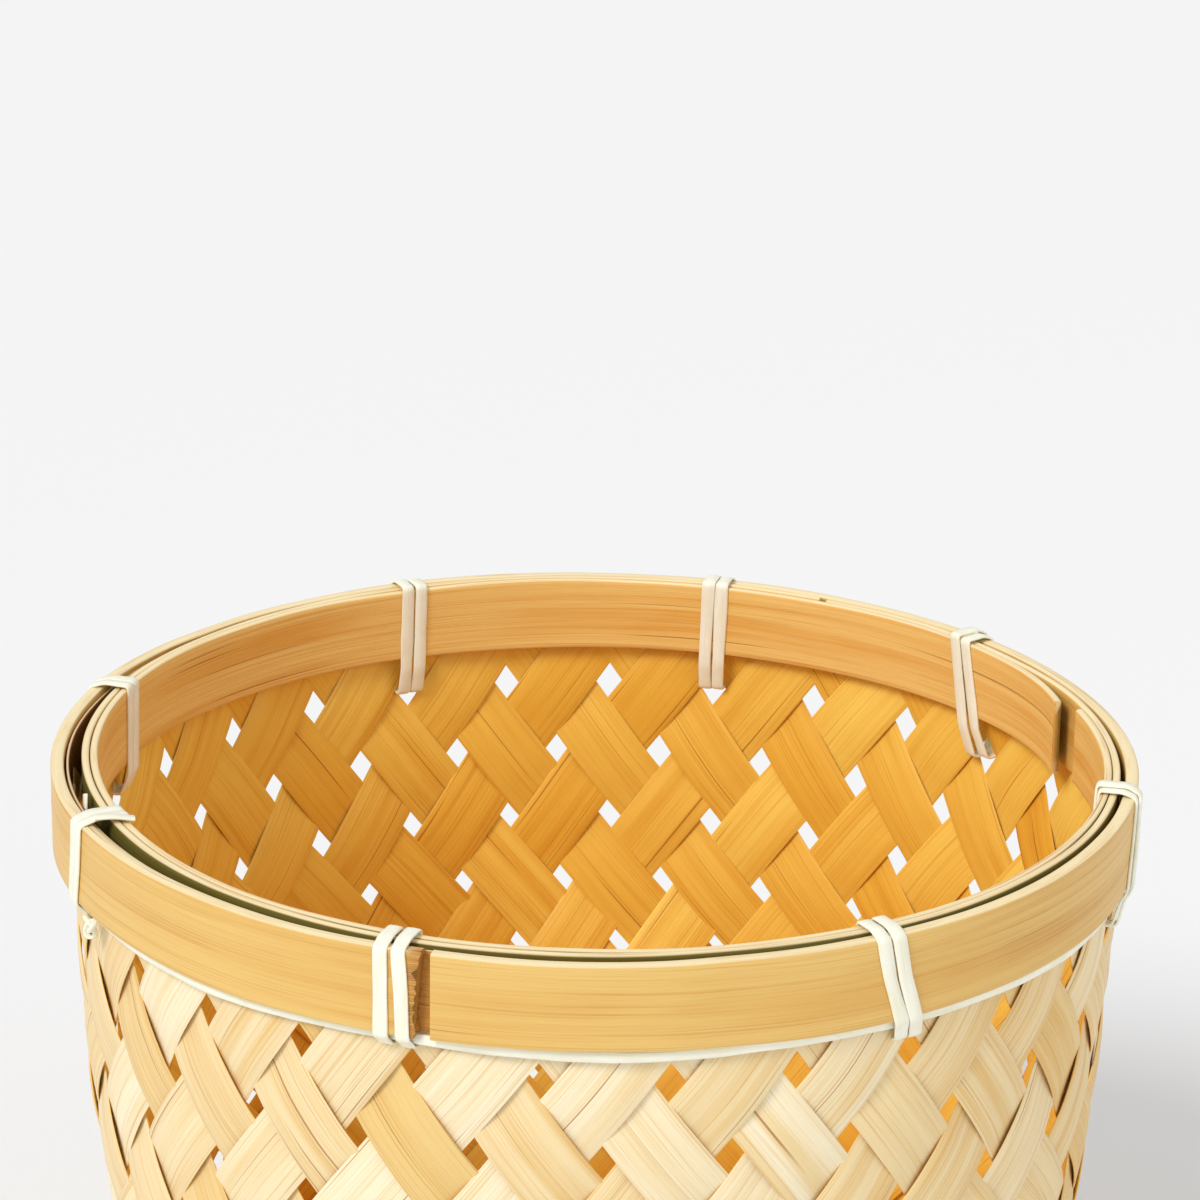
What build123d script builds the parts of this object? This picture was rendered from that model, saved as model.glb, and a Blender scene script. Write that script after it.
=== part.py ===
from build123d import *
from math import atan2, cos, degrees, hypot, pi, radians, sin, sqrt
import os

os.makedirs("parts", exist_ok=True)

# Open round basket plaited on the diagonal from one square mat of bamboo strips.
# Each strip climbs one side of the wall, crosses the base and climbs another side.
# The strip ends are gripped between an outer and an inner hoop, lashed with flat lace.
# +Z is up, the base rests on z = 0 and the rim circle is centred on the Z axis.

# ---- driving dimensions, mm and degrees ----
HEIGHT = 155.0        # base to the top of the inner hoop
MAT = 14              # strips each way in the mat of the base
ROWS = 11             # crossings up the wall, the last one behind the hoops
STRIP_W = 12.6
STRIP_T = 0.7
CROSS_GAP = 0.6       # air between the two strips of a crossing
MAT_PITCH = 14.4      # centre to centre of neighbouring strips in the base
RAMP = 1.6            # length of strip in which it steps from one layer to the other
FOLD_R = 17.0         # how gently the mat turns up from the base into the wall
ROW_GROWTH = 0.252    # how fast the rows open out with height
CORNER_GAP = 1.3      # more air at the crossings round the corners of the base
CORNER_PINCH = 2.3    # the strips are drawn narrower there
CORNER_FROM, CORNER_FADE = 36.0, 14.0   # distance from the X and Y axes where this begins, and its fade
CORNER_TOP = 52.0     # height at which it has faded out
TURN = 1.1            # turn of the mat about Z
SKEW = 4.0            # degrees the weave has slipped round the wall at +Y; none at -Y
WALL_R = 96.9         # mid-wall radius where the hoops grip it
ROUND_Z = 100.0       # height at which the wall has become round
STRIP_TOP = 152.0     # the strips are trimmed off just below the top of the hoops

HOOP_H = 15.0         # height of the hoop strips
HOOP_DROP = 1.2       # the outer hoop sits this much lower than the inner one
OUTER_R = 98.6        # inside radius of the outer hoop
OUTER_T = 1.7
SPLICE_T = 0.5        # thickness of the splice strip under the outer hoop's joint
SPLICE_FROM, SPLICE_TO = -210.0, -84.0
BULGE, BULGE_AZ = 0.3, -165.0   # the outer hoop stands away from the splice here
JOINT_AZ = -106.2     # joint in the outer hoop
JOINT_GAP = 1.3       # opening between its two ends, degrees
INNER_R = 95.8        # outside radius of the inner hoop
LAP_T = 1.1           # thickness of each of its two laps
LAP_GAP = 0.1
LAP_END_AZ = 17.0     # where the inner lap's free end stands off
LAP_STAND = 2.2

LACE_W = 2.4          # flat lace of the lashings
LACE_T = 0.45
LACE_GAP = 0.15       # slack between the lace and what it wraps
RUN_W = 2.0           # flat lace running round under the outer hoop
RUN_T = 0.5
RUN_R = 98.35         # its inside radius
RUN_DROP = 0.3        # its gap below the hoop
STATIONS = [-109.6, -60.4, -12.2, 39.7, 75.2, 113.9, 163.6, 204.8]
WRAP_STEP = 3.0       # the two wraps of a lashing, side by side
WRAP_CLOSE = 0.15     # how far each keeps from their middle in the opening
LEAN = 3.4            # how far a lashing leans to reach its opening, degrees round the rim
PASS_Z = -23.0        # where it passes through the weave, from the rim top
KNOT_R = 1.9
KNOT_ASIDE = 2.4      # degrees from its lashing
KNOT_OUT = 0.8        # its centre stands this far outside the outer hoop

SIDE = MAT * MAT_PITCH / sqrt(2)          # side of the square where mat turns to wall
UNIT = SIDE / MAT                         # spacing of crossings along that side
LIFT = (STRIP_T + CROSS_GAP) / 2          # a strip's offset from the mid-surface
MID_Z = LIFT + STRIP_T / 2                # the base's mid-surface above the floor
HOLE_STEP = 180 / MAT                     # openings in the row below the hoops
HOLE_AZ = -135 + TURN
EYE = 0.02                                # small step for directions, in crossings


def smooth(x):
    x = min(max(x, 0.0), 1.0)
    return x * x * (3 - 2 * x)


def turned(x, y, z):
    a = radians(TURN)
    return Vector(x * cos(a) - y * sin(a), x * sin(a) + y * cos(a), z)


def slipped(az):
    """How far the weave has slipped round at an azimuth, degrees."""
    return SKEW * (1 + sin(radians(az))) / 2


def base_point(x, y):
    """Mid-surface inside the square, from flat mat coordinates."""
    end = SIDE / 2 - pi * FOLD_R / 4
    bend = [max(0.0, abs(v) - end) / FOLD_R * (1 if v > 0 else -1) for v in (x, y)]
    turn = hypot(*bend)
    if turn < 1e-9:
        return turned(x, y, MID_Z)
    out = FOLD_R * sin(turn) / turn
    x, y = [min(max(v, -end), end) + out * b for v, b in zip((x, y), bend)]
    return turned(x, y, MID_Z + FOLD_R * (1 - cos(turn)))


def wall_point(s, climb):
    """Mid-surface up the wall: s runs round it in crossings, climb runs up along it."""
    s %= 4 * MAT
    quarter = pi / 4 * FOLD_R                       # half the length of the fold
    off_corner = min(s % MAT, MAT - s % MAT) * UNIT
    bend = max(0.0, (quarter - off_corner) / FOLD_R)
    inset, z, share = 0.0, MID_Z + FOLD_R + climb - quarter, min(1.0, climb / quarter)
    if climb < quarter:
        turn = hypot(pi / 4, bend)
        turn += (pi / 2 - turn) * share
        inset, z = FOLD_R * (1 - sin(turn)), MID_Z + FOLD_R * (1 - cos(turn))
    up = max(0.0, z - MID_Z - FOLD_R)
    rise = HEIGHT - HOOP_H - HOOP_DROP - MID_Z - FOLD_R
    girth = 4 * SIDE + (2 * pi * WALL_R - 4 * SIDE) * min(1.0, up / rise)
    corner = FOLD_R + (girth / (2 * pi) - FOLD_R) * smooth(up / (ROUND_Z - MID_Z - FOLD_R))
    half = girth / 8 + corner * (1 - pi / 4)
    run, arc = (s / MAT) % 1.0 * girth / 4, pi * corner / 4
    cx, a = half - corner, -pi / 2
    if run < arc:
        cx, a = -cx, -3 * pi / 4 + run / corner
        a += (-pi / 2 - atan2(bend, pi / 4) - a) * (1 - share)
    elif run > girth / 4 - arc:
        a = -pi / 4 - (girth / 4 - run) / corner
        a += (-pi / 2 + atan2(bend, pi / 4) - a) * (1 - share)
    else:
        cx = run - arc - cx
    x, y = cx + (corner - inset) * cos(a), corner - half + (corner - inset) * sin(a)
    q = int(s // MAT) * pi / 2
    p = turned(x * cos(q) - y * sin(q), x * sin(q) + y * cos(q), z)
    slip = radians(slipped(degrees(atan2(p.Y, p.X)))) * smooth(up / ROUND_Z)
    return Vector(p.X * cos(slip) - p.Y * sin(slip), p.X * sin(slip) + p.Y * cos(slip), z)


def base_reach(family, line):
    """Half length of a strip's run across the base, in crossings."""
    return min(line, 2 * MAT - line) if family == 1 else MAT - abs(line)


def strip_point(family, line, along):
    """Mid-surface point on the strip x + y = line (family 1) or x - y = line (family 2)."""
    reach = base_reach(family, line)
    if abs(along) <= reach:
        x, y = (line + along, line - along) if family == 1 else (along + line, along - line)
        shift = MAT if family == 1 else 0
        return base_point((x - shift) / 2 * UNIT, (y - shift) / 2 * UNIT)
    m = (abs(along) - reach) / 2
    if family == 1:
        lean = 1 if (along > 0) == (line < MAT) else -1
        s = line if along > 0 else 4 * MAT - line
    else:
        lean = 1 if (along > 0) == (line > 0) else -1
        s = 2 * MAT - line if along > 0 else 4 * MAT + line
        if along < 0 and line > 0:
            s = line
    return wall_point(s + lean * m, UNIT * m + ROW_GROWTH * m * m)


def near_corner(p):
    """1 at a crossing on the fold round a corner of the base, easing to 0 away from it."""
    a = radians(TURN)
    x, y = abs(p.X * cos(a) + p.Y * sin(a)), abs(p.Y * cos(a) - p.X * sin(a))
    return smooth((min(x, y) - CORNER_FROM) / CORNER_FADE) * smooth((CORNER_TOP - p.Z) / CORNER_FADE)


def strip_sections(family, number):
    """Section planes and widths of one strip: two for each crossing, flat across it."""
    line = 2 * number + 1 - (MAT if family == 2 else 0)
    reach = base_reach(family, line)
    # over and under alternate; this is the side of the first crossing, high on the wall
    side = 1 if (number + (MAT - reach - 1) // 2 + ROWS + family) % 2 == 0 else -1
    last = reach + 2 * ROWS
    sections = []
    spots = {a: strip_point(family, line, a) for a in range(-last, last + 1, 2)}
    for along in range(-last, last + 1, 2):
        p = spots[along]
        t = strip_point(family, line, along + EYE) - strip_point(family, line, along - EYE)
        w = strip_point(family, line + EYE, along) - strip_point(family, line - EYE, along)
        t, w = t.normalized(), w.normalized()
        # ease the tilt of a crossing low on the fold, so that no corner of it passes the floor
        if MID_Z + (abs(t.Z) + abs(w.Z)) * STRIP_W / 2 > p.Z > MID_Z + 0.01:
            ease = (p.Z - MID_Z) / ((abs(t.Z) + abs(w.Z)) * STRIP_W / 2)
            t, w = Vector(t.X, t.Y, t.Z * ease).normalized(), Vector(w.X, w.Y, w.Z * ease)
        w = (w - t * w.dot(t)).normalized()
        n = w.cross(t)
        if n.dot(Vector(p.X, p.Y, 0) / 90 - Vector(0, 0, 1 if p.Z < FOLD_R else 0)) < 0:
            n = n * -1
        tight = near_corner(p)
        place = p + n * ((LIFT + CORNER_GAP / 2 * tight) * side) + Vector(0, 0, CORNER_GAP / 2 * tight)
        # the ends are trimmed level, just below the top of the hoops
        for end in (-1, 1):
            if along == end * last:
                level = Vector(w.X, w.Y, 0).normalized()
                tip = place + t * ((STRIP_TOP - place.Z) / t.Z)
                sections.append((Plane(origin=tip, x_dir=level, z_dir=(0, 0, end)), STRIP_W / abs(t.Z)))
            else:
                flat = ((spots[along + 2 * end] - p).length - RAMP) / 2
                width = STRIP_W - CORNER_PINCH * tight
                sections.append((Plane(origin=place + t * (end * flat), x_dir=w, z_dir=t), width))
        side = -side
    return sections


def polar(r, az):
    return (r * cos(radians(az)), r * sin(radians(az)))


def in_arc(az, start, end, ramp):
    """1 inside the arc, easing to 0 over ramp degrees outside it."""
    best = 0.0
    for k in (-360, 0, 360):
        off = max(start - (az + k), az + k - end, 0.0)
        best = max(best, 1 - smooth(off / ramp))
    return best


def outer_inside(az):
    """Inside radius of the outer hoop, pushed out over the splice and bulging by it."""
    over = in_arc(az, SPLICE_FROM, SPLICE_TO, 9.0)
    away = min(abs((az - BULGE_AZ + 180) % 360 - 180) / 48.0, 1.0)
    return OUTER_R + (SPLICE_T + 0.15) * over + BULGE * (1 - smooth(away))


def hoop_outline(inside, thick, start, end, step=4.0):
    """Face of a bent strip seen from above; inside and thick are functions of azimuth."""
    n = max(4, round((end - start) / step))
    azs = [start + (end - start) * i / n for i in range(n + 1)]
    inner = [polar(inside(a), a) for a in azs]
    outer = [polar(inside(a) + thick(a), a) for a in azs]
    with BuildLine() as rim:
        Spline(*inner)
        Line(inner[-1], outer[-1])
        Spline(*outer[::-1])
        Line(outer[0], inner[0])
    return rim


def write(part, name):
    part.part.label = name
    export_step(part.part, f"parts/{name}.step")


def lashing_outline(grow, shift):
    """Closed run of the lace in the plane of one wrap: x outward, y up from the rim top."""
    g, low = LACE_GAP + grow, -HOOP_DROP - HOOP_H
    out, inn = OUTER_R + OUTER_T + g + shift, INNER_R - 2 * LAP_T - LAP_GAP - g
    return [
        (out, -HOOP_DROP + 0.25 + 0.3 * g), (out, low - 0.6), (99.6 + g, low - 2.8), (98.6 + g, PASS_Z - g),
        (95.3 - g, PASS_Z - g), (inn, -HOOP_H - 2.4), (inn, 0.3 + g), (INNER_R + g, 0.3 + g),
    ]


def nearest_hole(az):
    """Azimuth of the opening in the weave nearest to az, within half a turn of it."""
    holes = [HOLE_AZ + HOLE_STEP * k for k in range(2 * MAT)]
    turns = [(hole + slipped(hole) - az + 180) % 360 - 180 for hole in holes]
    return az + min(turns, key=abs)


def wrap_plane(az, hole_az, k):
    """Plane of one wrap, leaning from its place on the rim down to the opening in the weave."""
    out = Vector(*polar(1, (az + hole_az) / 2), 0)
    along = Vector(-out.Y, out.X, 0)
    lean = WALL_R * sin(radians((az - hole_az) / 2))
    top = along * (lean + k * WRAP_STEP / 2)
    low = along * (-lean + k * WRAP_CLOSE) + Vector(0, 0, PASS_Z)
    up = (top - low).normalized()
    return Plane(origin=top + Vector(0, 0, HEIGHT), x_dir=out, z_dir=out.cross(up))


def section_corners(plane, width):
    """Four corners of a strip's cross-section, anticlockwise seen from its end."""
    x, y = plane.x_dir * (width / 2), plane.y_dir * (STRIP_T / 2)
    return [plane.origin - x - y, plane.origin + x - y, plane.origin + x + y, plane.origin - x + y]


def strip_faces(sections):
    """Flat faces of a strip: boxes at the crossings, joined by ramps of two triangles a side."""
    rings = [section_corners(*section) for section in sections]
    outlines = [rings[0][::-1], rings[-1]]
    for i, (near, far) in enumerate(zip(rings, rings[1:])):
        for k in range(4):
            a, b, c, d = near[k], near[(k + 1) % 4], far[(k + 1) % 4], far[k]
            box = i % 2 == 0 and 0 < i < len(rings) - 2
            outlines += [[a, b, c, d]] if box else [[a, b, c], [a, c, d]]
    return [Face(Wire.make_polygon(outline, close=True)) for outline in outlines]


# ---- the plaited strips ----
for family, letter in ((1, "a"), (2, "b")):
    for number in range(MAT):
        with BuildPart() as strip:
            add(Solid(Shell(strip_faces(strip_sections(family, number)))))
        write(strip, f"strip_{letter}{number + 1:02d}")

# ---- outer hoop, open at its joint, and the splice strip under the joint ----
with BuildPart() as outer_hoop:
    with BuildSketch(Plane.XY.offset(HEIGHT - HOOP_DROP - HOOP_H)):
        with BuildLine():
            add(hoop_outline(outer_inside, lambda a: OUTER_T, JOINT_AZ + JOINT_GAP / 2,
                             JOINT_AZ + 360 - JOINT_GAP / 2))
        make_face()
    extrude(amount=HOOP_H)
write(outer_hoop, "outer_hoop")


def splice_thick(a):
    return SPLICE_T * (0.25 + 0.75 * smooth(min(a - SPLICE_FROM, SPLICE_TO - a) / 14.0))


with BuildPart() as splice:
    with BuildSketch(Plane.XY.offset(HEIGHT - HOOP_DROP - HOOP_H + 0.4)):
        with BuildLine():
            add(hoop_outline(lambda a: OUTER_R + 0.05, splice_thick, SPLICE_FROM, SPLICE_TO))
        make_face()
    extrude(amount=HOOP_H - 0.8)
write(splice, "outer_hoop_splice")

# ---- inner hoop: two bent laps, one inside the other ----
with BuildPart() as lap_outer:
    with BuildSketch(Plane.XY.offset(HEIGHT - HOOP_H)):
        with BuildLine():
            add(hoop_outline(lambda a: INNER_R - LAP_T, lambda a: LAP_T, 62.0, 62.0 + 359.0))
        make_face()
    extrude(amount=HOOP_H)
write(lap_outer, "inner_hoop_outer_lap")


def lap_inside(a):
    free = max(0.0, 1 - (a - LAP_END_AZ) / 16.0)
    return INNER_R - 2 * LAP_T - LAP_GAP - LAP_STAND * free * free


with BuildPart() as lap_inner:
    with BuildSketch(Plane.XY.offset(HEIGHT - HOOP_H)):
        with BuildLine():
            add(hoop_outline(lap_inside, lambda a: LAP_T, LAP_END_AZ, LAP_END_AZ + 356.5, 3.0))
        make_face()
    extrude(amount=HOOP_H)
write(lap_inner, "inner_hoop_inner_lap")

# ---- lashings: two flat wraps at each station, one lying over the other in the weave ----
for i, az in enumerate(STATIONS):
    hole_az = nearest_hole(az)
    az = hole_az + max(-LEAN, min(LEAN, az - hole_az))
    shift = outer_inside(az) - OUTER_R
    with BuildPart() as lashing:
        for k in (-1, 1):
            grow = 0.0 if k < 0 else LACE_T + 0.15
            with BuildSketch(wrap_plane(az, hole_az, k)):
                with BuildLine():
                    Polyline(*lashing_outline(grow + LACE_T, shift), close=True)
                make_face()
                with BuildLine():
                    Polyline(*lashing_outline(grow, shift), close=True)
                make_face(mode=Mode.SUBTRACT)
            extrude(amount=LACE_W / 2, both=True)
    write(lashing, f"lashing_{i + 1}")

# ---- lace running round the outside of the wall, close under the outer hoop ----
with BuildPart() as run:
    with BuildSketch(Plane.XY.offset(HEIGHT - HOOP_DROP - HOOP_H - RUN_DROP - RUN_W)):
        Circle(RUN_R + RUN_T)
        Circle(RUN_R, mode=Mode.SUBTRACT)
    extrude(amount=RUN_W)
write(run, "running_lace")

# ---- knot in the lace beside the last lashing, under the outer hoop ----
with BuildPart() as knot:
    knot_z = HEIGHT - HOOP_DROP - HOOP_H - 2 * RUN_DROP - KNOT_R
    with Locations((*polar(OUTER_R + OUTER_T + KNOT_OUT, STATIONS[-1] + KNOT_ASIDE), knot_z)):
        Sphere(KNOT_R)
write(knot, "lace_knot")
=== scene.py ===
from math import atan2, cos, degrees, hypot, pi, radians, sin, sqrt

import bpy
from mathutils import Matrix, Vector, noise


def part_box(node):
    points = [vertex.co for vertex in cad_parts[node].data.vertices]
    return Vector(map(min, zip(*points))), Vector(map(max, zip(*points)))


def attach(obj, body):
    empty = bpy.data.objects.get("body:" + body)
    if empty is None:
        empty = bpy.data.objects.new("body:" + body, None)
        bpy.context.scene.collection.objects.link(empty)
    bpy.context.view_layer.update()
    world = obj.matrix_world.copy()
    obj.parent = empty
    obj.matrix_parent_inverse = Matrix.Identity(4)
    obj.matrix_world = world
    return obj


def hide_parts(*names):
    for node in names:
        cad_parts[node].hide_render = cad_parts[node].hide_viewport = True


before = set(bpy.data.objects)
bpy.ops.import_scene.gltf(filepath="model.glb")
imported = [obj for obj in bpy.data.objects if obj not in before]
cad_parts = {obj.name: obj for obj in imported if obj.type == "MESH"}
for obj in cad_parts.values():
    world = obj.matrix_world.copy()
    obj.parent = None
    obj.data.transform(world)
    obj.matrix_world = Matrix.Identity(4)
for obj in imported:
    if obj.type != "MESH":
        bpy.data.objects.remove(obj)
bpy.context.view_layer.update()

# Open round basket, plaited on the diagonal from one square mat of bamboo strips, with a
# two-hoop rim lashed with flat lace. Lengths below are in millimetres and scaled to metres
# when a mesh is made. Azimuths are degrees round +Z from +X; -90 faces the camera.

MM = 0.001
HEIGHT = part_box("inner_hoop_outer_lap")[1].z / MM          # top of the inner hoop
HOOP_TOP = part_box("outer_hoop")[1].z / MM
HOOP_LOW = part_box("outer_hoop")[0].z / MM
HOOP_H = HOOP_TOP - HOOP_LOW

# ---- the weave, with the same layout as the CAD strips ----
MAT = 14              # strips each way in the mat of the base
ROWS = 11             # crossings up the wall
MAT_PITCH = 14.4
FOLD_R = 17.0
ROW_GROWTH = 0.252
TURN = 1.1
SKEW = 4.0            # degrees the weave has slipped round the wall at +Y
WALL_R = 97.25
ROUND_Z = 100.0
SIDE = MAT * MAT_PITCH / sqrt(2)
UNIT = SIDE / MAT
MID_Z = 1.0           # mid-surface of the base above the floor
HOLE_STEP = 180 / MAT
HOLE_AZ = -135 + TURN

STRIP_W = 13.5
STRIP_T = 0.5
EDGE_T = 0.3          # share of its thickness that is left at its edges
WAVE = 0.75           # how far a strip swings to each side of the mid-surface
WAVE_GRIPPED = 0.28   # the same where the hoops grip it
GRIP_EASE = 9.0       # height below the hoops over which the grip sets in
SQUARE_OFF = 0.35     # how much the swing flattens where it is widest
BOW = 0.22            # how far its edges curl back from its crown
WIDTH_WANDER = 0.5
SIDE_WANDER = 0.7
SAMPLES = 8           # rings of points from one crossing to the next
TIP = -0.12           # run past the last crossing, in crossings

# Round a corner of the base: how far from the middle and how low this sets in and fades, and
# how much narrower the strips are there and how much further they swing
CORNER_FROM, CORNER_TOP, CORNER_FADE = 36.0, 52.0, 14.0
CORNER_PINCH = 2.3
CORNER_WAVE = 0.5

# ---- the hoops ----
OUTER_R = 97.85       # inside radius of the outer hoop
OUTER_T = 2.45
PROUD = 0.75          # its top edge stands this much above the CAD hoop's
CAD_OUTER_R = 98.6    # inside radius that the CAD hoop has, for the lashings over it
CAD_OUTER_T = 1.7
SPLICE_T = 0.5
SPLICE_AIR = 0.15     # left between the splice and the outer hoop
SPLICE_FROM, SPLICE_TO = -210.0, -84.0
SPLICE_EASE = 9.0     # degrees in which the outer hoop climbs over an end of the splice
SPLICE_TAPER = 14.0   # degrees in which the splice thins out towards an end
SPLICE_END = 0.3      # share of its thickness that is left there
BULGE, BULGE_AZ = 0.3, -165.0
BULGE_SPREAD = 48.0   # degrees from the middle of the bulge to either side of it
PULLED_IN = 1.5       # the inner hoop is drawn away from the outer one there
JOINT_AZ = -106.2
JOINT_GAP = 1.3
WORN_END = 2.6        # length of the hoop's torn end, degrees
INNER_R = 96.95       # outside radius of the inner hoop
INNER_TOP = HEIGHT - 0.15
LAP_T = 1.45
LAP_GAP = 0.12
LAP_START_AZ = 62.0   # where the outer lap starts
LAP_END_AZ = 17.0     # the free end of the inner lap
LAP_FREE = 16.0       # degrees of it that stand off
LAP_STAND = 2.2

HOOP_LAYERS = 18      # rows of points up a face of a hoop
HOOP_STEPS = 1.4      # rings of points to a degree
HOOP_EDGE = 0.35      # how far its edges are rounded off
EDGE_WANDER = 0.35
FACE_WANDER = 0.05
# For the four points of the top edge and of the lower edge: the values of side and of cut, the share of the
# painted highlight on these edges
TOP_SIDE = [0.4, 0.1, 0.05, 0.0]
LOW_SIDE = [0.1, 0.3, 0.35, 0.75]
EDGE_HIGHLIGHT_PLACES = [0.9, 1.0, 1.0, 0.9]

# ---- the lace ----
LACE_W = 2.6
LACE_T = 0.5
LACE_AIR = 0.1        # between two wraps, where one crosses the other
RUN_W = 1.9
RUN_R = 98.75
RUN_DROP = 0.75       # below the outer hoop at a lashing
RUN_SAG = 0.55        # and this much further down half way to the next
KNOT_W = 1.1
KNOT_SIZE = 0.72
KNOT_STEPS = 48
END_W = 2.2
WALL_FRONT, WALL_BACK = 98.2, 95.2     # radii just outside and just inside the wall
# Depth below the rim from which a lashing turns towards an opening in the weave, and how much
# deeper it must go to reach it
HOLES_FROM, HOLES_EASE = 17.5, 4.0
# Of each lashing: azimuth at the rim, distance between its two wraps at the rim and below the
# hoops, and the height, counted from the rim, at which it passes through the wall
STATIONS = [
    (-109.6, 3.4, 4.0, -18.6), (-60.4, 2.9, 3.0, -20.4), (-12.2, 1.5, 1.2, -22.0),
    (39.7, 2.4, 3.3, -22.6), (75.2, 2.8, 2.9, -22.6), (113.9, 2.8, 2.9, -22.6),
    (163.6, 2.6, 2.9, -21.0), (204.8, 2.9, 2.2, -20.0),
]


def smooth(x):
    x = min(max(x, 0.0), 1.0)
    return x * x * (3 - 2 * x)


def polar(r, az, z=0.0):
    return Vector((r * cos(radians(az)), r * sin(radians(az)), z))


def wander(place, seed, size):
    """Slow random wandering between about -size and size."""
    return size * noise.noise(Vector((place, seed * 7.31, 1.7)))


# ---------------------------------------------------------------- meshes

def band(name, rings, grain, side, closed=False, sharp=40, worn=None, cut=None):
    """A solid band through rings of points. grain holds (across, along, seed) of each point
    and side 0 to 1, for the material; worn is 0 to 1 for each ring, and cut 0 to 1 for each
    place in a ring, 1 on an edge that gets a painted highlight. closed joins the last ring to the first."""
    count, width = len(rings), len(rings[0])
    points = [p * MM for ring in rings for p in ring]
    faces = []
    for i in range(count if closed else count - 1):
        a, b = i * width, (i + 1) % count * width
        for k in range(width):
            n = (k + 1) % width
            faces.append((a + k, a + n, b + n, b + k))
    if not closed:
        faces.append(tuple(reversed(range(width))))
        faces.append(tuple(range((count - 1) * width, count * width)))
    mesh = bpy.data.meshes.new(name)
    mesh.from_pydata(points, [], faces)
    mesh.validate()
    vectors = [v for row in grain for cell in row for v in cell]
    mesh.attributes.new("grain", "FLOAT_VECTOR", "POINT").data.foreach_set("vector", vectors)
    values = {"side": [v for row in side for v in row]}
    if worn:
        values["worn"] = [v for v in worn for _ in range(width)]
    if cut:
        values["cut"] = cut * count
    for label, numbers in values.items():
        mesh.attributes.new(label, "FLOAT", "POINT").data.foreach_set("value", numbers)
    mesh.polygons.foreach_set("use_smooth", [True] * len(mesh.polygons))
    mesh.set_sharp_from_angle(angle=radians(sharp))
    piece = bpy.data.objects.new(name, mesh)
    bpy.context.scene.collection.objects.link(piece)
    return piece


def finish_piece(piece, material, slot, *nodes):
    piece.data.materials.append(material)
    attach(piece, "root")
    if nodes:
        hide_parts(*nodes)


# ---------------------------------------------------------------- materials

class Nodes:
    """Short names for the nodes that the materials are made of."""

    def __init__(self, name):
        self.material = bpy.data.materials.new(name)
        self.material.use_nodes = True
        self.tree = self.material.node_tree
        self.shader = self.tree.nodes["Principled BSDF"]

    def join(self, source, socket):
        self.tree.links.new(source, socket)

    def attribute(self, name, output):
        node = self.tree.nodes.new("ShaderNodeAttribute")
        node.attribute_name = name
        return node.outputs[output]

    def scaled(self, vector, scale):
        node = self.tree.nodes.new("ShaderNodeVectorMath")
        node.operation = "MULTIPLY"
        self.join(vector, node.inputs[0])
        node.inputs[1].default_value = scale
        return node.outputs[0]

    def noise(self, vector, detail=3.0, roughness=0.6):
        node = self.tree.nodes.new("ShaderNodeTexNoise")
        node.inputs["Scale"].default_value = 1.0
        node.inputs["Detail"].default_value = detail
        node.inputs["Roughness"].default_value = roughness
        self.join(vector, node.inputs["Vector"])
        return node.outputs["Fac"]

    def ramp(self, value, first, last):
        """A grey that goes from the shade of the first (value, shade) stop to the last one's."""
        node = self.tree.nodes.new("ShaderNodeValToRGB")
        for element, (place, shade) in zip(node.color_ramp.elements, (first, last)):
            element.position = place
            element.color = (shade, shade, shade, 1)
        self.join(value, node.inputs["Fac"])
        return node.outputs["Color"]

    def mix(self, factor, a, b, blend="MIX"):
        node = self.tree.nodes.new("ShaderNodeMix")
        node.data_type = "RGBA"
        node.blend_type = blend
        for socket, value in ((node.inputs[0], factor), (node.inputs[6], a), (node.inputs[7], b)):
            if isinstance(value, bpy.types.NodeSocket):
                self.join(value, socket)
            else:
                socket.default_value = (*value, 1) if isinstance(value, tuple) else value
        return node.outputs[2]

    def bump(self, height, strength, distance, below=None):
        node = self.tree.nodes.new("ShaderNodeBump")
        node.inputs["Strength"].default_value = strength
        node.inputs["Distance"].default_value = distance
        self.join(height, node.inputs["Height"])
        if below is not None:
            self.join(below, node.inputs["Normal"])
        return node.outputs["Normal"]

    def result(self, colour, normal, roughness, specular=0.4):
        self.join(colour, self.shader.inputs["Base Color"])
        self.join(normal, self.shader.inputs["Normal"])
        self.shader.inputs["Roughness"].default_value = roughness
        self.shader.inputs["Specular IOR Level"].default_value = specular
        return self.material


def linear(r, g, b):
    """A colour from its 0 to 255 display values, by the sRGB curve above its straight foot."""
    return tuple(((v / 255 + 0.055) / 1.055) ** 2.4 for v in (r, g, b))


# Scales of the noises over the grain: across a strip and along it, to a millimetre, and from
# strip to strip
FIBRES = (5.2, 0.035, 9.0)
THREADS = (2.1, 0.012, 5.0)
STRIPES = (0.33, 0.007, 3.1)
PATCHES = (0.05, 0.022, 1.3)
SPLITS = (1.5, 0.010, 13.0)
WHOLE_STRIP = (0.0, 0.0, 1.83)
LACE_RIDGES = (3.4, 0.05, 2.0)
LACE_MOTTLE = (0.35, 0.12, 4.0)

# Paler cream on the hoops' top and lower edges: a painted highlight, as on a top edge in direct light.
EDGE_HIGHLIGHT_SHARE = (0.85, 0.85, 0.85)
EDGE_HIGHLIGHT = linear(250, 234, 190)
SPLIT_DARK = linear(168, 116, 62)
TORN_PALE = linear(226, 172, 84)
TORN_DARK = linear(150, 92, 36)


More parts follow.
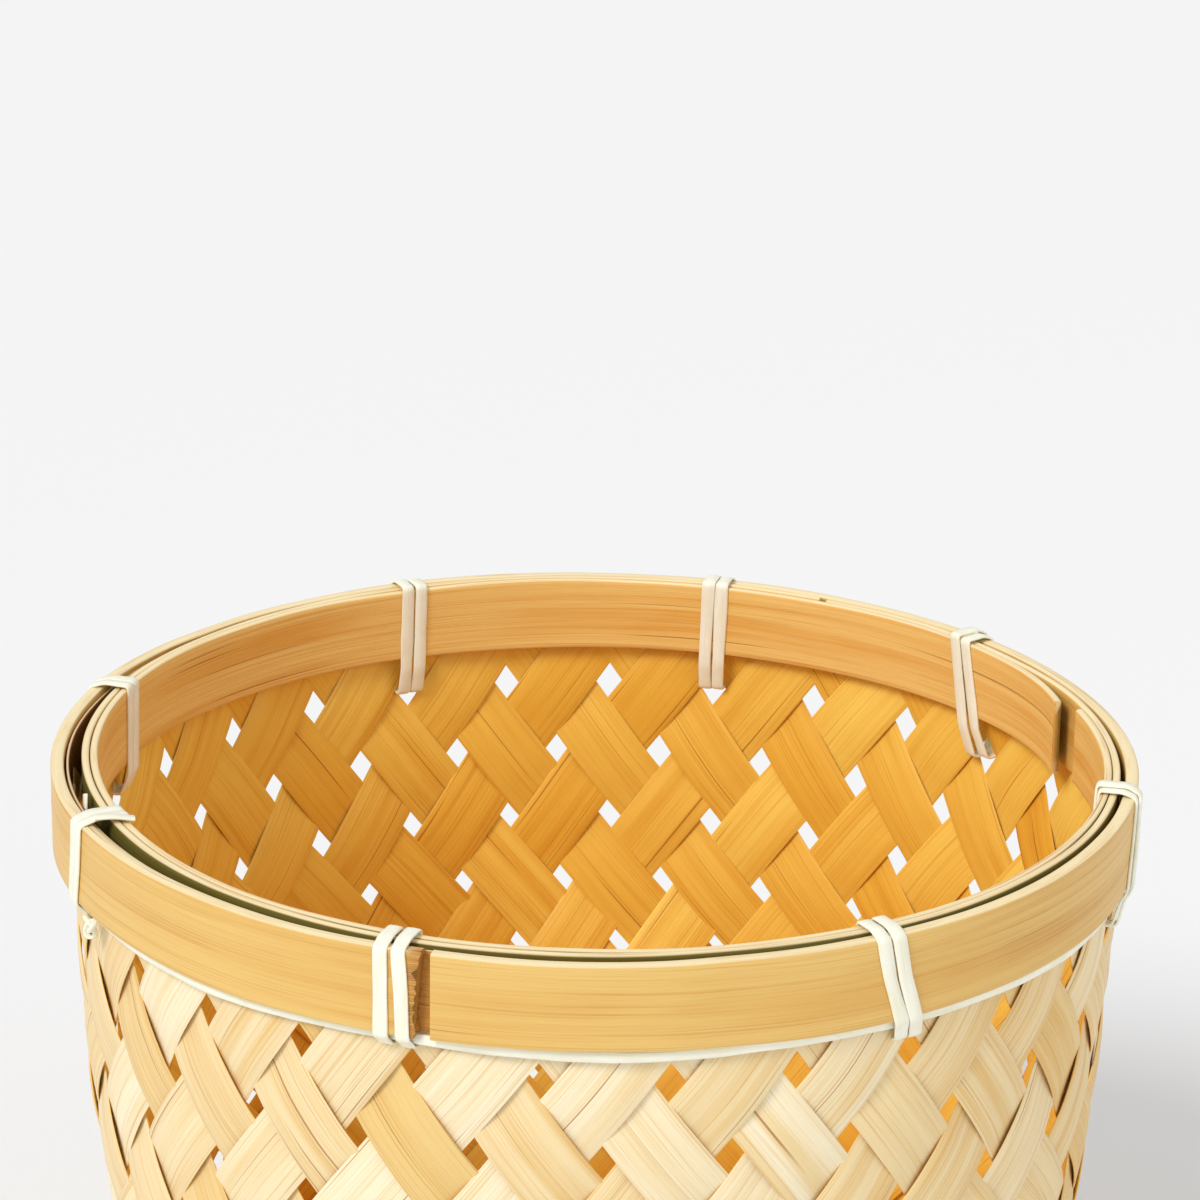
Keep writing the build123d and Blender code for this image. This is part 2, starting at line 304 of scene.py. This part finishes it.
def bamboo(name, outside, inside, tan, fibre, roughness, fibre_mix=0.55, tan_mix=0.7):
    """Split bamboo: long fibres along the strip, broad tan stripes and a few dark splits. Of
    the point attributes, side is 1 on the face turned out, cut is 1 on an edge with a painted
    highlight, worn is 1 on a torn end, and the third grain value differs from strip to strip."""
    n = Nodes(name)
    grain = n.attribute("grain", "Vector")
    fine = n.noise(n.scaled(grain, FIBRES), 4.0, 0.7)
    thread = n.noise(n.scaled(grain, THREADS), 2.0, 0.5)
    stripe = n.noise(n.scaled(grain, STRIPES), 2.0, 0.5)
    patch = n.noise(n.scaled(grain, PATCHES), 2.0, 0.5)
    split = n.noise(n.scaled(grain, SPLITS), 1.0, 0.4)
    tone = n.noise(n.scaled(grain, WHOLE_STRIP), 0.0, 0.5)

    colour = n.mix(n.attribute("side", "Fac"), inside, outside)
    colour = n.mix(n.ramp(tone, (0.38, 0.0), (0.62, 1.0)), colour, tan, "MULTIPLY")
    stripes, patches = n.ramp(stripe, (0.42, 0.0), (0.68, tan_mix)), n.ramp(patch, (0.35, 0.25), (0.6, 1.0))
    colour = n.mix(n.mix(1.0, stripes, patches, "MULTIPLY"), colour, tan, "MULTIPLY")
    # Painted highlight: where cut is 1, the hoops' edges are mixed towards a paler cream.
    colour = n.mix(n.mix(1.0, n.attribute("cut", "Color"), EDGE_HIGHLIGHT_SHARE, "MULTIPLY"), colour, EDGE_HIGHLIGHT)
    colour = n.mix(n.ramp(fine, (0.50, 0.0), (0.72, fibre_mix)), colour, fibre, "MULTIPLY")
    colour = n.mix(n.ramp(thread, (0.56, 0.0), (0.66, fibre_mix * 0.8)), colour, fibre, "MULTIPLY")
    colour = n.mix(n.ramp(split, (0.71, 0.0), (0.75, 0.7)), colour, SPLIT_DARK, "MULTIPLY")
    torn = n.mix(n.ramp(fine, (0.35, 0.0), (0.6, 1.0)), TORN_PALE, TORN_DARK)
    colour = n.mix(n.attribute("worn", "Fac"), colour, torn)

    normal = n.bump(fine, 0.35, 0.00012)
    normal = n.bump(thread, 0.35, 0.00022, normal)
    return n.result(colour, normal, roughness)


def lace_material():
    n = Nodes("lace_white")
    grain = n.attribute("grain", "Vector")
    ridge = n.noise(n.scaled(grain, LACE_RIDGES), 2.0, 0.5)
    mottle = n.noise(n.scaled(grain, LACE_MOTTLE), 3.0, 0.6)
    colour = n.mix(n.ramp(mottle, (0.35, 0.0), (0.7, 0.6)), linear(248, 247, 232), linear(236, 230, 196))
    colour = n.mix(n.ramp(ridge, (0.55, 0.0), (0.75, 0.35)), colour, linear(214, 204, 160))
    material = n.result(colour, n.bump(ridge, 0.4, 0.0001), 0.38, 0.45)
    n.shader.inputs["Subsurface Weight"].default_value = 0.08
    n.shader.inputs["Subsurface Radius"].default_value = (0.001, 0.001, 0.0006)
    return material


# Inside colour more golden than the outside: partly the bamboo's own inner side, partly painted shade and
# bounce light of the basket's interior.
STRIP = bamboo("strip_bamboo", outside=linear(247, 234, 200), inside=linear(253, 214, 100),
               tan=linear(240, 216, 160), fibre=linear(228, 192, 118), roughness=0.5)
HOOP = bamboo("hoop_bamboo", outside=linear(240, 212, 140), inside=linear(244, 204, 120),
              tan=linear(234, 204, 140), fibre=linear(220, 186, 118), roughness=0.42,
              fibre_mix=0.45, tan_mix=0.6)
# Darker brown, outside and inside: painted shade of the recess behind the outer hoop's joint, where the
# splice shows.
SPLICE = bamboo("splice_bamboo", outside=linear(206, 150, 62), inside=linear(180, 118, 40),
                tan=linear(200, 140, 70), fibre=linear(170, 110, 50), roughness=0.55)
# Dark olive outside: painted shade on the inner hoop's face that lies in the gaps between the hoops.
INNER = bamboo("inner_hoop_bamboo", outside=linear(116, 116, 58), inside=linear(248, 214, 136),
               tan=linear(236, 200, 126), fibre=linear(226, 186, 122), roughness=0.45,
               fibre_mix=0.5, tan_mix=0.7)
LACE = lace_material()


# ---------------------------------------------------------------- the plaited strips

def turned(x, y, z):
    a = radians(TURN)
    return Vector((x * cos(a) - y * sin(a), x * sin(a) + y * cos(a), z))


def slipped(az):
    """How far the weave has slipped round at an azimuth, degrees."""
    return SKEW * (1 + sin(radians(az))) / 2


def base_point(x, y):
    """Mid-surface inside the square, from flat mat coordinates."""
    end = SIDE / 2 - pi * FOLD_R / 4
    bend = [max(0.0, abs(v) - end) / FOLD_R * (1 if v > 0 else -1) for v in (x, y)]
    turn = hypot(*bend)
    if turn < 1e-9:
        return turned(x, y, MID_Z)
    out = FOLD_R * sin(turn) / turn
    x, y = [min(max(v, -end), end) + out * b for v, b in zip((x, y), bend)]
    return turned(x, y, MID_Z + FOLD_R * (1 - cos(turn)))


def wall_point(s, climb):
    """Mid-surface up the wall: s runs round it in crossings, climb runs up along it."""
    s %= 4 * MAT
    quarter = pi / 4 * FOLD_R
    off_corner = min(s % MAT, MAT - s % MAT) * UNIT
    bend = max(0.0, (quarter - off_corner) / FOLD_R)
    inset, z, share = 0.0, MID_Z + FOLD_R + climb - quarter, min(1.0, climb / quarter)
    if climb < quarter:
        turn = hypot(pi / 4, bend)
        turn += (pi / 2 - turn) * share
        inset, z = FOLD_R * (1 - sin(turn)), MID_Z + FOLD_R * (1 - cos(turn))
    up = max(0.0, z - MID_Z - FOLD_R)
    rise = HOOP_LOW - MID_Z - FOLD_R
    girth = 4 * SIDE + (2 * pi * WALL_R - 4 * SIDE) * min(1.0, up / rise)
    corner = FOLD_R + (girth / (2 * pi) - FOLD_R) * smooth(up / (ROUND_Z - MID_Z - FOLD_R))
    half = girth / 8 + corner * (1 - pi / 4)
    run, arc = (s / MAT) % 1.0 * girth / 4, pi * corner / 4
    cx, a = half - corner, -pi / 2
    if run < arc:
        cx, a = -cx, -3 * pi / 4 + run / corner
        a += (-pi / 2 - atan2(bend, pi / 4) - a) * (1 - share)
    elif run > girth / 4 - arc:
        a = -pi / 4 - (girth / 4 - run) / corner
        a += (-pi / 2 + atan2(bend, pi / 4) - a) * (1 - share)
    else:
        cx = run - arc - cx
    x, y = cx + (corner - inset) * cos(a), corner - half + (corner - inset) * sin(a)
    q = int(s // MAT) * pi / 2
    p = turned(x * cos(q) - y * sin(q), x * sin(q) + y * cos(q), z)
    slip = radians(slipped(degrees(atan2(p.y, p.x)))) * smooth(up / ROUND_Z)
    return Vector((p.x * cos(slip) - p.y * sin(slip), p.x * sin(slip) + p.y * cos(slip), z))


def base_reach(family, line):
    """Half length of a strip's run across the base, in crossings."""
    return min(line, 2 * MAT - line) if family == 1 else MAT - abs(line)


def strip_point(family, line, along):
    """Mid-surface point on the strip x + y = line (family 1) or x - y = line (family 2)."""
    reach = base_reach(family, line)
    if abs(along) <= reach:
        x, y = (line + along, line - along) if family == 1 else (along + line, along - line)
        shift = MAT if family == 1 else 0
        return base_point((x - shift) / 2 * UNIT, (y - shift) / 2 * UNIT)
    m = (abs(along) - reach) / 2
    if family == 1:
        lean = 1 if (along > 0) == (line < MAT) else -1
        s = line if along > 0 else 4 * MAT - line
    else:
        lean = 1 if (along > 0) == (line > 0) else -1
        s = 2 * MAT - line if along > 0 else 4 * MAT + line
        if along < 0 and line > 0:
            s = line
    return wall_point(s + lean * m, UNIT * m + ROW_GROWTH * m * m)


def near_corner(p):
    """1 on the fold round a corner of the base, easing to 0 away from it."""
    a = radians(TURN)
    x, y = abs(p.x * cos(a) + p.y * sin(a)), abs(p.y * cos(a) - p.x * sin(a))
    sideways, low = (min(x, y) - CORNER_FROM) / CORNER_FADE, (CORNER_TOP - p.z) / CORNER_FADE
    return smooth(sideways) * smooth(low)


def weave_side(family, number, reach):
    """1 where the strip's first crossing, high on the wall, lies outside, else -1."""
    even = (number + (MAT - reach - 1) // 2) % 2 == 0
    outside = even if family == 2 else not even
    return (1 if outside else -1) * (-1 if ROWS % 2 else 1)


PROFILE = [-0.5, -0.47, -0.25, 0.0, 0.25, 0.47, 0.5]     # places across a strip
NEAR = 0.1            # in crossings, to measure a slope
ROUGH_R = 90.0        # about the wall's radius, to tell a strip's outer face
GRAIN_STEP = 400      # shifts each strip's grain along, so that no two are alike


def strip_axes(family, line, along):
    """A point of the strip, with the directions along it, across it and out of its face."""
    p = strip_point(family, line, along)
    t = strip_point(family, line, along + NEAR) - strip_point(family, line, along - NEAR)
    w = strip_point(family, line + NEAR, along) - strip_point(family, line - NEAR, along)
    t.normalize()
    w = (w - t * w.dot(t)).normalized()
    out = w.cross(t)
    outward = Vector((p.x, p.y, 0)) / ROUGH_R - Vector((0, 0, 1 if p.z < FOLD_R else 0))
    return p, t, w, -out if out.dot(outward) < 0 else out


def strip_ring(p, w, out, width, shift, bulge, crown):
    """The points round a strip's section, its outer face first."""
    ring = []
    for half, places in ((STRIP_T / 2, PROFILE), (-STRIP_T / 2, PROFILE[::-1])):
        for v in places:
            height = bulge - crown * (2 * v) ** 2 + half * (1 if abs(v) < 0.5 else EDGE_T)
            point = p + w * (v * width + shift) + out * height
            point.z = max(point.z, 0.0)
            ring.append(point)
    return ring


def plaited_strip(family, number, name):
    line = 2 * number + 1 - (MAT if family == 2 else 0)
    reach = base_reach(family, line)
    last = reach + 2 * ROWS
    first_side = weave_side(family, number, reach)
    seed = number + 40 * family
    steps = int((last + 2 * TIP) * SAMPLES / 2) * 2
    rings, grain, side, run = [], [], [], 0.0
    before = None
    for i in range(steps + 1):
        along = (2 * i / steps - 1) * (last + 2 * TIP)
        p, t, w, out = strip_axes(family, line, along)
        tight = near_corner(p)
        gripped = smooth((p.z - HOOP_LOW + GRIP_EASE) / GRIP_EASE)
        phase = pi * (along + last) / 2
        swing = cos(phase) * (1 + SQUARE_OFF * sin(phase) ** 2) * first_side
        swing_out = (WAVE + CORNER_WAVE * tight) * (1 - gripped) + WAVE_GRIPPED * gripped
        width = STRIP_W - CORNER_PINCH * tight + wander(along / 5, seed, WIDTH_WANDER)
        shift = wander(along / 7 + 50, seed, SIDE_WANDER) * (1 - tight)
        crown = BOW * (1 - gripped)
        run += (p - (before or p)).length
        before = p
        rings.append(strip_ring(p, w, out, width, shift, swing_out * swing, crown * swing))
        across = [v * width for v in PROFILE]
        grain.append([(a, run + GRAIN_STEP * seed, seed) for a in across + across[::-1]])
        side.append([1.0] * len(PROFILE) + [0.0] * len(PROFILE))
    if w.cross(t).dot(out) > 0:
        rings = [ring[::-1] for ring in rings]
        grain = [row[::-1] for row in grain]
        side = [row[::-1] for row in side]
    piece = band(name, rings, grain, side)
    finish_piece(piece, STRIP, "bamboo_strips", name.replace("woven_", ""))


for family, letter in ((1, "a"), (2, "b")):
    for number in range(MAT):
        plaited_strip(family, number, f"woven_strip_{letter}{number + 1:02d}")


# ---------------------------------------------------------------- hoops

def in_arc(az, start, end, ramp):
    """1 inside the arc, easing to 0 over ramp degrees outside it."""
    best = 0.0
    for k in (-360, 0, 360):
        off = max(start - (az + k), az + k - end, 0.0)
        best = max(best, 1 - smooth(off / ramp))
    return best


def in_bulge(az):
    """1 in the middle of the outer hoop's bulge, easing to 0 at its sides."""
    return 1 - smooth(abs((az - BULGE_AZ + 180) % 360 - 180) / BULGE_SPREAD)


def outer_shift(az):
    """How far the outer hoop is pushed out over the splice, and bulges away from it."""
    over = in_arc(az, SPLICE_FROM, SPLICE_TO, SPLICE_EASE)
    return (SPLICE_T + SPLICE_AIR) * over + BULGE * in_bulge(az)


def inner_shift(az):
    """How far the inner hoop is drawn in where the outer one bulges."""
    return -PULLED_IN * in_bulge(az)


def bent_strip(name, inside, thick, low, high, start, end, seed, ragged=None):
    """A flat bamboo strip bent round the rim, with rounded edges. inside and thick give its
    inside radius and thickness at an azimuth, low and high its edges; ragged moves the end."""
    steps = max(20, int((end - start) * HOOP_STEPS))
    azimuths = [start + (end - start) * i / steps for i in range(steps + 1)]
    faces = [1.0] * HOOP_LAYERS + TOP_SIDE + [0.0] * HOOP_LAYERS + LOW_SIDE
    rings, grain = [], []
    for az in azimuths:
        r, t = inside(az), thick(az)
        bottom = low + wander(az / 23, seed, EDGE_WANDER)
        top = high + wander(az / 19 + 30, seed, EDGE_WANDER)
        bite = min(HOOP_EDGE, t * 0.45)
        flat = top - bottom - 2 * bite
        heights = [bite + flat * k / (HOOP_LAYERS - 1) for k in range(HOOP_LAYERS)]
        outer = [(r + t + wander(az / 9 + 9 * h, seed, FACE_WANDER), bottom + h) for h in heights]
        inner = [(r + wander(az / 9 + 9 * h, seed + 5, FACE_WANDER), bottom + h) for h in reversed(heights)]
        crown = [(r + t - bite * 0.35, top - bite * 0.3), (r + t - bite, top), (r + bite, top),
                 (r + bite * 0.35, top - bite * 0.3)]
        foot = [(r + bite * 0.35, bottom + bite * 0.3), (r + bite, bottom), (r + t - bite, bottom),
                (r + t - bite * 0.35, bottom + bite * 0.3)]
        ring, cells = [], []
        for (radius, z), face in zip(outer + crown + inner + foot, faces):
            here = az + (ragged(az, (z - bottom) / (top - bottom)) if ragged else 0.0)
            ring.append(polar(radius, here, z))
            cells.append((z - bottom, radians(here) * r, seed + 3 * face))
        rings.append(ring)
        grain.append(cells)
    worn = [smooth((az - end + WORN_END) / WORN_END) for az in azimuths] if ragged else None
    # cut marks the top and lower edges, which get the painted highlight.
    cut = [0.0] * HOOP_LAYERS + EDGE_HIGHLIGHT_PLACES + [0.0] * HOOP_LAYERS + EDGE_HIGHLIGHT_PLACES
    return band(name, rings, grain, [faces] * len(rings), sharp=50, worn=worn, cut=cut)


HOOP_START = JOINT_AZ + JOINT_GAP / 2
HOOP_END = JOINT_AZ + 360 - JOINT_GAP / 2
TORN_EASE = 3.0       # degrees over which the fibres of the torn end part
TORN_BACK = 0.3
TONGUE, TONGUE_FROM, TONGUE_EASE = 0.4, 0.74, 0.05
CRACK, CRACK_AT, CRACK_HALF_W = 0.9, 0.73, 0.035


def broken_end(az, height):
    """The hoop's end on the left of the joint is torn: its fibres end unevenly, with a crack
    below a longer tongue at the top. height is 0 to 1 up the hoop."""
    near = smooth((az - HOOP_END + TORN_EASE) / TORN_EASE)
    coarse = noise.noise(Vector((height * 7, 3.3, 0)))
    fine = noise.noise(Vector((height * 37, 8.1, 0)))
    tongue = TONGUE * smooth((height - TONGUE_FROM) / TONGUE_EASE)
    crack = -CRACK * max(0.0, 1 - abs(height - CRACK_AT) / CRACK_HALF_W)
    return near * (0.5 * coarse + 0.5 * fine + tongue + crack - TORN_BACK)


outer = bent_strip("bent_outer_hoop", lambda a: OUTER_R + outer_shift(a), lambda a: OUTER_T,
                   HOOP_LOW, HOOP_TOP + PROUD, HOOP_START, HOOP_END, seed=3, ragged=broken_end)
finish_piece(outer, HOOP, "bamboo_hoop", "outer_hoop")


def splice_thick(a):
    full = smooth(min(a - SPLICE_FROM, SPLICE_TO - a) / SPLICE_TAPER)
    return SPLICE_T * (SPLICE_END + (1 - SPLICE_END) * full)


splice = bent_strip("bent_splice", lambda a: OUTER_R + 0.02, splice_thick,
                    HOOP_LOW + 0.4, HOOP_TOP + 0.1, SPLICE_FROM, SPLICE_TO, seed=11)
finish_piece(splice, SPLICE, "bamboo_splice", "outer_hoop_splice")

lap = bent_strip("bent_inner_hoop_outer_lap", lambda a: INNER_R - LAP_T + inner_shift(a), lambda a: LAP_T,
                 HEIGHT - HOOP_H, INNER_TOP, LAP_START_AZ, LAP_START_AZ + 359.0, seed=21)
finish_piece(lap, INNER, "bamboo_inner_hoop", "inner_hoop_outer_lap")


def lap_inside(a):
    """Inside radius of the inner lap, whose free end stands off."""
    free = max(0.0, 1 - (a - LAP_END_AZ) / LAP_FREE)
    return INNER_R - 2 * LAP_T - LAP_GAP - LAP_STAND * free * free + inner_shift(a)


lap = bent_strip("bent_inner_hoop_inner_lap", lap_inside, lambda a: LAP_T,
                 HEIGHT - HOOP_H, INNER_TOP, LAP_END_AZ, LAP_END_AZ + 356.5, seed=33)
finish_piece(lap, INNER, "bamboo_inner_hoop", "inner_hoop_inner_lap")


# ---------------------------------------------------------------- lace

def rounded(corners, radius, closed):
    """The path through corners, each one rounded off."""
    path, count = [], len(corners)
    for i, corner in enumerate(corners):
        if not closed and i in (0, count - 1):
            path.append(corner.copy())
            continue
        back, on = corners[i - 1] - corner, corners[(i + 1) % count] - corner
        cut = min(radius, back.length * 0.45, on.length * 0.45)
        a, b = corner + back.normalized() * cut, corner + on.normalized() * cut
        for k in range(5):
            u = k / 4
            path.append(a * (1 - u) ** 2 + corner * 2 * u * (1 - u) + b * u * u)
    return path


def refined(path, step, closed):
    """The same path with points no further apart than step."""
    result = []
    for a, b in zip(path, path[1:] + path[:1] if closed else path[1:]):
        parts = max(1, int((b - a).length / step))
        result += [a.lerp(b, k / parts) for k in range(parts)]
    return result if closed else result + [path[-1]]


LACE_PROFILE = [(-0.5, 0.2), (-0.42, 0.5), (0.0, 0.62), (0.42, 0.5), (0.5, 0.2),
                (0.5, -0.2), (0.42, -0.5), (0.0, -0.5), (-0.42, -0.5), (-0.5, -0.2)]


def flat_lace(name, path, wide, closed, seed, width=LACE_W):
    """Flat lace along a path; wide(point, direction) gives the direction across it."""
    rings, grain, side, run = [], [], [], 0.0
    count = len(path)
    for i, p in enumerate(path):
        t = path[(i + 1) % count] - path[i - 1] if closed or 0 < i < count - 1 else (
            path[1] - path[0] if i == 0 else path[-1] - path[-2])
        t.normalize()
        w = wide(p, t)
        w = (w - t * w.dot(t)).normalized()
        up = t.cross(w)
        run += (p - path[i - 1]).length if i else 0.0
        here = width + wander(run / 6, seed, 0.3)
        rings.append([p + w * (x * here) + up * (y * LACE_T) for x, y in LACE_PROFILE])
        grain.append([(x * here, run, seed) for x, y in LACE_PROFILE])
        side.append([1.0] * len(LACE_PROFILE))
    return band(name, rings, grain, side, closed, sharp=60)


def round_rim(p, t):
    """Across the lace where it goes round the hoops: along the rim."""
    return Vector((-p.y, p.x, 0)).normalized()


def wrap_path(az, hole_az, top_off, low_off, deep, grow, seed):
    """One turn of a lashing: over the hoops, down outside, in below them and up inside. deep
    is the height at which it goes through the wall, counted from the rim, as z is below."""
    g = LACE_T / 2 + grow
    out = CAD_OUTER_R + CAD_OUTER_T + g + outer_shift(az)
    inn = INNER_R - 2 * LAP_T - LAP_GAP - g + inner_shift(az)
    low, drop = HOOP_LOW - HEIGHT, HOOP_TOP - HEIGHT
    corners = [
        (out, drop + PROUD + 0.35 * g), (out, low / 2), (out, low - 0.3),
        (WALL_FRONT + 1.0 + g, max(low - 2.2, deep + 0.8)), (WALL_FRONT + g, deep - g),
        (WALL_BACK - g, deep - g), (inn, low - 1.0), (inn, 0.3 + g), (INNER_R + 1 + g, 0.35 + g),
    ]
    path = []
    for r, z in corners:
        down = min(1.0, max(0.0, z / deep))
        turn = az + (hole_az - az) * down ** 1.3
        off = top_off + (low_off - top_off) * down + wander(z / 9, seed, 0.35)
        path.append(polar(r, turn + degrees(off / r), HEIGHT + z))
    return refined(rounded(path, 0.9, True), 1.2, True)


def nearest_hole(az):
    """Azimuth of the opening in the weave nearest to az, within half a turn of it."""
    holes = [HOLE_AZ + HOLE_STEP * k for k in range(2 * MAT)]
    turns = [(hole + slipped(hole) - az + 180) % 360 - 180 for hole in holes]
    return az + min(turns, key=abs)


def lashing(number, az, top_gap, low_gap, deep):
    """Two wraps side by side. The second lies over the first where they cross."""
    hole_az = az + (nearest_hole(az) - az) * smooth((-deep - HOLES_FROM) / HOLES_EASE)
    for k, letter in ((-1, "a"), (1, "b")):
        grow = 0.0 if k < 0 else (LACE_T + LACE_AIR) * (1 if top_gap < LACE_W else 0.12)
        seed = 100 + 10 * number + k
        path = wrap_path(az, hole_az, k * top_gap / 2, k * low_gap / 2, deep, grow, seed)
        piece = flat_lace(f"lace_wrap_{number}{letter}", path, round_rim, True, seed)
        finish_piece(piece, LACE, "lace", f"lashing_{number}")


for number, station in enumerate(STATIONS, 1):
    lashing(number, *station)


def running_lace():
    """Flat lace along the wall just under the outer hoop, slack between the lashings."""
    stops = sorted(az % 360 for az, *_ in STATIONS)
    path = []
    for az in range(360):
        gaps = [((az - s) % 360, (t - s) % 360) for s, t in zip(stops, stops[1:] + stops[:1])]
        into, span = min(gaps)
        sag = sin(pi * into / span) ** 2
        r = RUN_R + 0.25 * sag + outer_shift(az) * 0.25 + wander(az / 13, 61, 0.25)
        path.append(polar(r, az, HOOP_LOW - RUN_DROP - RUN_SAG * sag + wander(az / 17, 60, 0.4)))
    piece = flat_lace("lace_running", path, lambda p, t: Vector((0, 0, 1)), True, 60, RUN_W)
    finish_piece(piece, LACE, "lace", "running_lace")


running_lace()


def lace_knot():
    """Overhand knot in the lace, just under the outer hoop beside the left lashing."""
    centre = (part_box("lace_knot")[0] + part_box("lace_knot")[1]) / 2 / MM
    out = Vector((centre.x, centre.y, 0)).normalized()
    along = Vector((-out.y, out.x, 0))
    path = []
    for i in range(KNOT_STEPS):
        a = 2 * pi * i / KNOT_STEPS
        x = KNOT_SIZE * (sin(a) + 2 * sin(2 * a))
        z = KNOT_SIZE * (cos(a) - 2 * cos(2 * a))
        path.append(centre + along * x + Vector((0, 0, z)) + out * (0.55 * sin(3 * a) - 0.4))
    piece = flat_lace("lace_overhand_knot", path, lambda p, t: out, True, 70, KNOT_W)
    finish_piece(piece, LACE, "lace", "lace_knot")


lace_knot()


def lace_ends():
    """The cut ends of the lace: one tucked between the hoops, one past the left lashing. Each
    corner is a radius, degrees past that lashing and a height above the rim."""
    left = STATIONS[-1][0]
    tucked = [(97.0, -5.5, -5.0), (97.1, -5.8, -2.0), (96.8, -6.4, 0.4)]
    past = [(98.6, 1.2, 1.0), (95.5, 1.9, 1.2), (92.0, 2.6, 0.6)]
    for number, corners in enumerate((tucked, past), 1):
        points = [polar(r, left + off, HEIGHT + z) for r, off, z in corners]
        path = refined(rounded(points, 1.5, False), 0.8, False)
        piece = flat_lace(f"lace_end_{number}", path, round_rim, False, 80 + number, END_W)
        finish_piece(piece, LACE, "lace")


lace_ends()


# ---------------------------------------------------------------- floor, light and camera

# Lengths in this section are in metres
FLOOR_HALF = 6.0
FLOOR_Z = -0.0004
FLOOR_GREY = linear(240, 240, 241)
KEY_FROM, KEY_POWER, KEY_ANGLE = (-0.62, -0.7, 0.85), 1.75, 22
FILL_FROM, FILL_AT, FILL_SIZE, FILL_POWER = (1.1, -0.9, 0.8), (0, 0, 0.12), 1.0, 2
WORLD_STRENGTH = 0.66


def make_floor():
    h = FLOOR_HALF
    mesh = bpy.data.meshes.new("floor")
    mesh.from_pydata([(-h, -h, 0), (h, -h, 0), (h, h, 0), (-h, h, 0)], [], [(0, 1, 2, 3)])
    floor = bpy.data.objects.new("floor", mesh)
    bpy.context.scene.collection.objects.link(floor)
    n = Nodes("floor_pale")
    n.shader.inputs["Base Color"].default_value = (*FLOOR_GREY, 1)
    n.shader.inputs["Roughness"].default_value = 0.9
    n.shader.inputs["Specular IOR Level"].default_value = 0.1
    mesh.materials.append(n.material)
    floor.location.z = FLOOR_Z


def hang_lamp(name, light, place, target):
    lamp = bpy.data.objects.new(name, light)
    bpy.context.scene.collection.objects.link(lamp)
    lamp.location = place
    lamp.rotation_mode = "QUATERNION"
    lamp.rotation_quaternion = (Vector(target) - Vector(place)).to_track_quat("-Z", "Y")


def key_light():
    light = bpy.data.lights.new("key", "SUN")
    light.energy, light.angle = KEY_POWER, radians(KEY_ANGLE)
    hang_lamp("key", light, KEY_FROM, (0, 0, 0))


def fill_light():
    light = bpy.data.lights.new("fill", "AREA")
    light.shape = "DISK"
    light.size, light.energy = FILL_SIZE, FILL_POWER
    hang_lamp("fill", light, FILL_FROM, FILL_AT)


def world_light():
    world = bpy.data.worlds.new("studio")
    bpy.context.scene.world = world
    world.use_nodes = True
    background = world.node_tree.nodes["Background"]
    background.inputs["Color"].default_value = (1, 1, 1, 1)
    background.inputs["Strength"].default_value = WORLD_STRENGTH


make_floor()
key_light()
fill_light()
world_light()
bpy.context.scene.view_settings.view_transform = "Standard"

DISTANCE = 0.8        # from the middle of the rim to the camera
ABOVE = 21.09         # degrees at which the camera stands above the rim
AIM = 19.18           # degrees down that it looks, which is above the rim's middle
ROLL = 0.95           # degrees that it is turned about the line it looks along
LENS, SENSOR = 128.7, 36.0
camera_data = bpy.data.cameras.new("camera")
camera_data.lens, camera_data.sensor_width = LENS, SENSOR
camera = bpy.data.objects.new("camera", camera_data)
bpy.context.scene.collection.objects.link(camera)
back, up = DISTANCE * cos(radians(ABOVE)), DISTANCE * sin(radians(ABOVE))
camera.location = Vector((0, -back, HEIGHT * MM + up))
tilt, roll = Matrix.Rotation(radians(90 - AIM), 3, "X"), Matrix.Rotation(radians(ROLL), 3, "Z")
camera.rotation_euler = (tilt @ roll).to_euler()
bpy.context.scene.camera = camera
